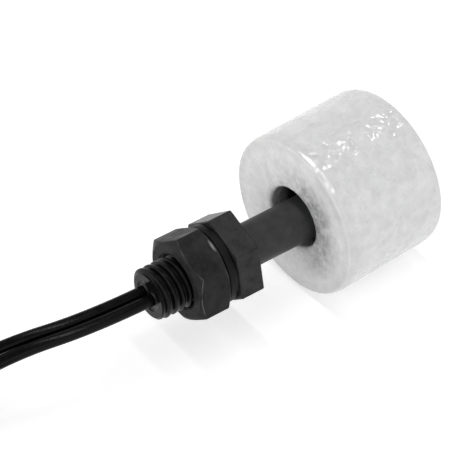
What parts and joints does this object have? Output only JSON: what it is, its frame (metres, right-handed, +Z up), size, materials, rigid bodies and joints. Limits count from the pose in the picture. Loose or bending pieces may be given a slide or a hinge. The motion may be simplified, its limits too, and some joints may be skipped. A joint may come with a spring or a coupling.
{
  "type": "float switch",
  "caption": "Miniature vertical float switch: foam float sliding on a plastic stem, hexagonal flange, gasket and nut on a threaded neck, and twin leads.",
  "frame": {"origin": "on the stem's axis, at the flange face that seals against a tank wall", "axes": "+X along the stem from the threaded neck to the tip, +Z up as the switch lies on the side of its float, +Y to the left seen from the neck"},
  "size_m": [0.1344, 0.0405, 0.0312],
  "materials": {
    "black_moulding": "satin",
    "gasket_rubber": "matt",
    "float_foam": "satin, fine foam speckle",
    "ferrite": "matt",
    "clip_plastic": "satin",
    "potting_resin": "gloss",
    "lead_insulation": "gloss",
    "tinned_copper": "bright",
    "solder": "bright",
    "reed_alloy": "bright",
    "glass": "clear"
  },
  "bodies": {
    "switch": {"stem_body": "black_moulding", "retaining_clip": "clip_plastic", "potting_plug": "potting_resin", "reed_glass": "glass", "reed_blade_a": "reed_alloy", "reed_blade_b": "reed_alloy", "return_wire": "lead_insulation", "solder_joint_a": "solder", "solder_joint_b": "solder", "solder_joint_c": "solder", "lead_a_core": "tinned_copper", "lead_b_core": "tinned_copper", "lead_a_run": "lead_insulation", "lead_b_run": "lead_insulation", "lead_coil": "lead_insulation", "lead_a_tail": "lead_insulation", "lead_b_tail": "lead_insulation", "tinned_end_a": "tinned_copper", "tinned_end_b": "tinned_copper"},
    "gasket": {"sealing_gasket": "gasket_rubber"},
    "nut": {"hex_nut": "black_moulding"},
    "float": {"float_body": "float_foam", "float_magnet": "ferrite"}
  },
  "joints": [
    {"name": "float_slide", "type": "slide", "parent": "switch", "child": "float", "axis": [1, 0, 0], "range_m": [-0.0119, 0]},
    {"name": "nut_travel", "type": "slide", "parent": "switch", "child": "gasket", "axis": [-1, 0, 0], "range_m": [0, 0.0058]},
    {"name": "nut_turn", "type": "hinge", "parent": "gasket", "child": "nut", "pos_m": [0, 0, 0], "axis": [-1, 0, 0], "range_deg": [0, 1392.1]}
  ],
  "couplings": [
    {"joint": "nut_turn", "follows": "nut_travel", "rad_per_m": 4188.8}
  ]
}
